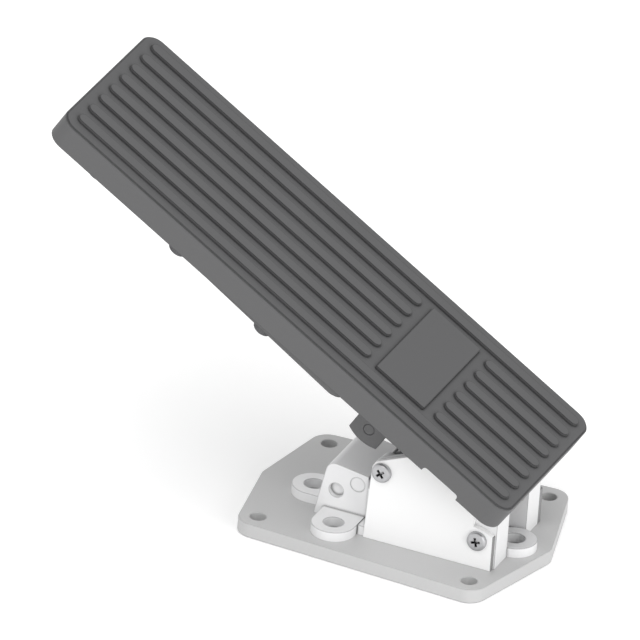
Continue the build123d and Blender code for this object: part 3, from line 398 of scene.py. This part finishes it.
def rounded(node, radius, segments=2):
    """A copy of a CAD node with its sharp edges rounded; radius is in mm."""
    piece = bpy.data.objects.new(node + "_rounded", frame["nodes"][node].data.copy())
    bpy.context.scene.collection.objects.link(piece)
    pick(piece)
    bpy.ops.object.mode_set(mode="EDIT")
    bpy.ops.mesh.select_all(action="SELECT")
    bpy.ops.mesh.remove_doubles(threshold=SAME_POINT)
    bpy.ops.mesh.dissolve_limited(angle_limit=radians(FLAT_WITHIN))
    bpy.ops.object.mode_set(mode="OBJECT")
    bevel = piece.modifiers.new("edges", "BEVEL")
    bevel.width = radius * MM
    bevel.segments = segments
    bevel.limit_method = "ANGLE"
    bevel.angle_limit = radians(SHARP_ANGLE)
    bevel.use_clamp_overlap = True
    bpy.ops.object.modifier_apply(modifier=bevel.name)
    bpy.ops.object.shade_smooth_by_angle(angle=radians(SHARP_ANGLE))
    weighted = piece.modifiers.new("normals", "WEIGHTED_NORMAL")
    weighted.keep_sharp = True
    bpy.ops.object.modifier_apply(modifier=weighted.name)
    piece.data.materials.clear()
    piece.data.materials.append(FINISH[SLOT_OF[node]])
    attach(piece, BODY_OF[node])
    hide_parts(node)
    return piece


ROUND_BY_NODE = {
    "base_plate": 0.6,
    "pedal_bracket": 0.35,
    "side_cover": 0.4,
    "treadle_body": 0.25,
    "treadle_pad": 0.2,
    "stiffener_pan": 0.4,
    "hinge_carrier": 0.3,
    "upper_spring_seat": 0.5,
    "lower_spring_seat": 0.4,
    "sensor_housing": 0.4,
    "sensor_lid": 0.3,
    "idle_stop": 0.8,
    "carrier_rivets": 0.7,
    "tower_pin": 0.4,
    "lug_pin": 0.4,
}
for node, radius in ROUND_BY_NODE.items():
    piece = rounded(node, radius)
    print(piece.name, len(piece.data.polygons))

# %% [markdown]
# The pieces from here on are new, and modelled as by hand. Each starts as a
# primitive in millimetre sizes at the origin, upright. These helpers choose
# faces by place or normal, cut one solid out of another, and put a finished
# piece in its place, with its own place and turn written into its mesh.


# %% Helpers for hand-made pieces
def to_edit(piece, chosen):
    """Edit mode with only the faces selected for which chosen(face) is true."""
    pick(piece)
    bpy.ops.object.mode_set(mode="EDIT")
    bpy.ops.mesh.select_mode(type="FACE")
    bpy.ops.mesh.select_all(action="DESELECT")
    bpy.ops.object.mode_set(mode="OBJECT")
    for face in piece.data.polygons:
        face.select = bool(chosen(face))
    bpy.ops.object.mode_set(mode="EDIT")


def cut_out(piece, cutter):
    """The cutter is taken out of the piece and thrown away."""
    pick(piece)
    cut = piece.modifiers.new("cut", "BOOLEAN")
    cut.operation = "DIFFERENCE"
    cut.solver = "EXACT"
    cut.object = cutter
    bpy.ops.object.modifier_apply(modifier=cut.name)
    bpy.data.objects.remove(cutter)


def settle(piece, matrix):
    """The piece takes this place and turn into its mesh."""
    piece.matrix_world = matrix
    pick(piece)
    bpy.ops.object.transform_apply(location=True, rotation=True, scale=True)


def dress(piece, node):
    """Finish, slot, body and replaced node of a piece that stands for a node."""
    pick(piece)
    bpy.ops.object.shade_smooth_by_angle(angle=radians(SHARP_ANGLE))
    piece.data.materials.clear()
    piece.data.materials.append(FINISH[SLOT_OF[node]])
    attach(piece, BODY_OF[node])
    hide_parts(node)
    print(piece.name, len(piece.data.polygons))


HAND_MADE = set()

# %% [markdown]
# The cover and the sensor are held by pan-head screws with a cross recess.
# The head is a short cylinder whose top rim gets a wide round bevel, and the
# shank is drawn out of its foot. The recess is a cross with slightly
# tapering arms, cut in where the driver left it: each screw stops at its own
# angle.

# %% Pan-head screws
PAN_R, PAN_H, SHANK_R = 4.4 * MM, 2.2 * MM, 2.5 * MM
PAN_RIM = 0.6 * PAN_H
PAN_SIDES, RIM_STEPS = 64, 6
ARM, BLADE, SUNK = 4.4 * MM, 1.15 * MM, 1.5 * MM
OVER_HEAD = 0.5 * MM
ARM_TAPER = 0.78
PEDAL_MIDDLE_Y = -6.2 * MM


def cross_cutter():
    """A cross, wider at its top, that reaches from above the head into it."""
    bpy.ops.object.select_all(action="DESELECT")
    bpy.ops.mesh.primitive_cube_add(size=1, location=(0, 0, PAN_H + (OVER_HEAD - SUNK) / 2))
    cross = bpy.context.active_object
    cross.scale = (BLADE, BLADE, SUNK + OVER_HEAD)
    bpy.ops.object.transform_apply(location=True, rotation=True, scale=True)
    for way in ((1, 0), (-1, 0), (0, 1), (0, -1)):
        to_edit(cross, lambda face: face.normal.x * way[0] + face.normal.y * way[1] > 0.9
                and abs(face.center.x * way[1] + face.center.y * way[0]) < BLADE / 4)
        step = Vector((*way, 0)) * (ARM - BLADE) / 2
        bpy.ops.mesh.extrude_region_move(TRANSFORM_OT_translate={"value": step})
        bpy.ops.object.mode_set(mode="OBJECT")
    to_edit(cross, lambda face: face.normal.z < -0.9)
    bpy.ops.transform.resize(value=(ARM_TAPER, ARM_TAPER, 1), center_override=(0, 0, 0))
    bpy.ops.object.mode_set(mode="OBJECT")
    return cross


def pan_head_screw(node, turn):
    """Screw along Y; its head lies on the outer side of the pedal."""
    low, high = (Vector(corner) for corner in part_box(node))
    facing = -1 if low.y < PEDAL_MIDDLE_Y else 1
    shank = high.y - low.y - PAN_H
    bpy.ops.object.select_all(action="DESELECT")
    bpy.ops.mesh.primitive_cylinder_add(vertices=PAN_SIDES, radius=PAN_R, depth=PAN_H,
                                        location=(0, 0, PAN_H / 2))
    screw = bpy.context.active_object
    screw.name = node + "_made"
    bpy.ops.object.transform_apply(location=True, rotation=True, scale=True)
    to_edit(screw, lambda face: face.normal.z > 0.9)
    bpy.ops.mesh.bevel(offset=PAN_RIM, segments=RIM_STEPS, affect="EDGES")
    bpy.ops.object.mode_set(mode="OBJECT")
    to_edit(screw, lambda face: face.normal.z < -0.9)
    bpy.ops.mesh.inset(thickness=PAN_R - SHANK_R)
    bpy.ops.mesh.extrude_region_move(TRANSFORM_OT_translate={"value": (0, 0, -shank)})
    bpy.ops.object.mode_set(mode="OBJECT")
    cut_out(screw, cross_cutter())
    head_y = low.y if facing < 0 else high.y
    seat = Vector(((low.x + high.x) / 2, head_y - facing * PAN_H, (low.z + high.z) / 2))
    out_along_y = Matrix.Rotation(-facing * pi / 2, 4, "X")
    own_turn = Matrix.Rotation(radians(turn), 4, "Z")
    settle(screw, Matrix.Translation(seat) @ out_along_y @ own_turn)
    HAND_MADE.add(node)
    dress(screw, node)


for node, turn in (("cover_screw_rear", 37.7), ("cover_screw_front", 12.5),
                   ("sensor_screw_rear", 20), ("sensor_screw_front", 61)):
    pan_head_screw(node, turn)

# %% [markdown]
# Six socket-head cap screws hold the pressed pan under the treadle. Their
# heads are knurled, so that fingers can start them. Every second face round
# the head is inset and pushed out a little, and a six-sided cutter makes the
# socket. Their places come from the solids: in the treadle's own upright
# frame, the middle of each screw's box is its axis.

# %% Cap screws under the treadle
HINGE = Vector(frame["joints"][0]["pos_m"])
SLOPE = radians(31.1)
TREADLE_FRAME = Matrix.Translation(HINGE) @ Matrix.Rotation(SLOPE, 4, "Y")
CAP_R, CAP_H, CAP_SHANK_R, SOCKET_AF = 4.25 * MM, 5.35 * MM, 2.5 * MM, 4.0 * MM
CAP_SIDES = 56
KNURL, KNURL_GAP = 0.12 * MM, 0.04 * MM
CAP_RIM, CAP_RIM_H = 0.35 * MM, 0.3 * MM
CAP_SHANK = 4 * MM


def loose_parts(node):
    """The separate solids of a node, each as a list of points."""
    piece = bpy.data.objects.new("parts", frame["nodes"][node].data.copy())
    bpy.context.scene.collection.objects.link(piece)
    pick(piece)
    bpy.ops.object.mode_set(mode="EDIT")
    bpy.ops.mesh.select_all(action="SELECT")
    bpy.ops.mesh.remove_doubles(threshold=SAME_POINT)
    bpy.ops.mesh.separate(type="LOOSE")
    bpy.ops.object.mode_set(mode="OBJECT")
    found = list(bpy.context.selected_objects)
    clouds = [[vertex.co.copy() for vertex in part.data.vertices] for part in found]
    for part in found:
        bpy.data.objects.remove(part)
    return clouds


def cap_screw():
    """Knurled head on Z = 0 that points down, with its shank upwards."""
    bpy.ops.object.select_all(action="DESELECT")
    bpy.ops.mesh.primitive_cylinder_add(vertices=CAP_SIDES, radius=CAP_R - KNURL, depth=CAP_H,
                                        location=(0, 0, CAP_H / 2))
    screw = bpy.context.active_object
    bpy.ops.object.transform_apply(location=True, rotation=True, scale=True)
    sides = [face.index for face in screw.data.polygons if abs(face.normal.z) < 0.1]
    knurls = set(sides[::2])
    to_edit(screw, lambda face: face.index in knurls)
    bpy.ops.mesh.inset(thickness=KNURL_GAP, depth=KNURL, use_individual=True)
    bpy.ops.object.mode_set(mode="OBJECT")
    to_edit(screw, lambda face: face.normal.z < -0.999)
    bpy.ops.mesh.inset(thickness=CAP_RIM)
    bpy.ops.transform.translate(value=(0, 0, -CAP_RIM_H))
    bpy.ops.object.mode_set(mode="OBJECT")
    to_edit(screw, lambda face: face.normal.z > 0.999)
    bpy.ops.mesh.inset(thickness=CAP_R - CAP_SHANK_R)
    bpy.ops.mesh.extrude_region_move(TRANSFORM_OT_translate={"value": (0, 0, CAP_SHANK)})
    bpy.ops.object.mode_set(mode="OBJECT")
    bpy.ops.object.select_all(action="DESELECT")
    bpy.ops.mesh.primitive_cylinder_add(vertices=6, radius=SOCKET_AF / 2 / cos(pi / 6), depth=CAP_H,
                                        location=(0, 0, 0))
    cut_out(screw, bpy.context.active_object)
    return screw


def cap_screws():
    """All six, as one piece that stands for the node."""
    first = cap_screw()
    made = []
    for cloud in loose_parts("pan_screws"):
        local = [TREADLE_FRAME.inverted() @ point for point in cloud]
        xs, ys, zs = ([point[axis] for point in local] for axis in range(3))
        foot = Vector(((min(xs) + max(xs)) / 2, (min(ys) + max(ys)) / 2, min(zs) + CAP_RIM_H))
        copy = bpy.data.objects.new("cap_screw", first.data.copy())
        bpy.context.scene.collection.objects.link(copy)
        settle(copy, TREADLE_FRAME @ Matrix.Translation(foot))
        made.append(copy)
    bpy.data.objects.remove(first)
    pick(made[0])
    for copy in made:
        copy.select_set(True)
    bpy.ops.object.join()
    made[0].name = "pan_screws_made"
    return made[0]


dress(cap_screws(), "pan_screws")
HAND_MADE.add("pan_screws")

# %% [markdown]
# Two nested springs push the treadle up. A spring starts as one ring, the
# section of the wire, which the Screw modifier winds up. A real spring's end
# turns lie close together and are ground flat, so the rows of points are
# then moved to a pitch that is small at both ends, and a bisect at each seat
# grinds the turn.

# %% Return springs
WIRE_POINTS = 14
STEPS_PER_TURN = 36
DEAD_TURNS = 0.9
CLOSE_COILED = 1.02
GROUND = 0.25


def wound_height(turn, turns, wire, height):
    """Height of the wire's centre after this many turns."""
    start, end = wire * GROUND, height - wire * GROUND
    close = DEAD_TURNS * wire * CLOSE_COILED
    if turn < DEAD_TURNS:
        return start + close * turn / DEAD_TURNS
    if turn > turns - DEAD_TURNS:
        return end - close * (turns - turn) / DEAD_TURNS
    share = (turn - DEAD_TURNS) / (turns - 2 * DEAD_TURNS)
    return start + close + (end - start - 2 * close) * share


def return_spring(node, wire, turns):
    """Spring that fills the node's box."""
    low, high = (Vector(corner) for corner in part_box(node))
    height, radius = high.z - low.z, (high.x - low.x) / 2 - wire / 2
    bpy.ops.object.select_all(action="DESELECT")
    bpy.ops.mesh.primitive_circle_add(vertices=WIRE_POINTS, radius=wire / 2, fill_type="NOTHING",
                                      location=(radius, 0, 0), rotation=(pi / 2, 0, 0))
    spring = bpy.context.active_object
    spring.name = node + "_made"
    bpy.ops.object.transform_apply(location=True, rotation=True, scale=True)
    wind = spring.modifiers.new("wind", "SCREW")
    wind.angle = 2 * pi * turns
    wind.screw_offset = height
    wind.steps = wind.render_steps = int(STEPS_PER_TURN * turns)
    wind.use_merge_vertices = False
    bpy.ops.object.modifier_apply(modifier=wind.name)
    rows = len(spring.data.vertices) // WIRE_POINTS
    for index, vertex in enumerate(spring.data.vertices):
        share = (index // WIRE_POINTS) / (rows - 1)
        vertex.co.z += wound_height(share * turns, turns, wire, height) - share * height
    bpy.ops.object.mode_set(mode="EDIT")
    bpy.ops.mesh.select_all(action="DESELECT")
    bpy.ops.mesh.select_mode(type="EDGE")
    bpy.ops.mesh.select_non_manifold()
    bpy.ops.mesh.fill_holes(sides=0)
    for plane_z, up in ((0, -1), (height, 1)):
        bpy.ops.mesh.select_all(action="SELECT")
        bpy.ops.mesh.bisect(plane_co=(0, 0, plane_z), plane_no=(0, 0, up), use_fill=True,
                            clear_outer=True)
    bpy.ops.mesh.select_all(action="SELECT")
    bpy.ops.mesh.normals_make_consistent(inside=False)
    bpy.ops.object.mode_set(mode="OBJECT")
    centre = (low + high) / 2
    settle(spring, Matrix.Translation((centre.x, centre.y, low.z)))
    dress(spring, node)
    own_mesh(spring)
    HAND_MADE.add(node)


return_spring("return_spring_outer", 2.0 * MM, 7.0)
return_spring("return_spring_inner", 1.4 * MM, 9.5)

# %% [markdown]
# Small turned and stamped parts keep their exact size. They only get smooth
# shading and the faintest break on their edges.

# %% Small parts
EDGE_BREAK = 0.12
SMALL_PARTS = [node for node in frame["nodes"]
               if node not in ROUND_BY_NODE and node not in HAND_MADE]
for node in SMALL_PARTS:
    rounded(node, EDGE_BREAK, segments=1)
print("small parts:", len(SMALL_PARTS))

# %% [markdown]

# %% Finish
print("scene built")
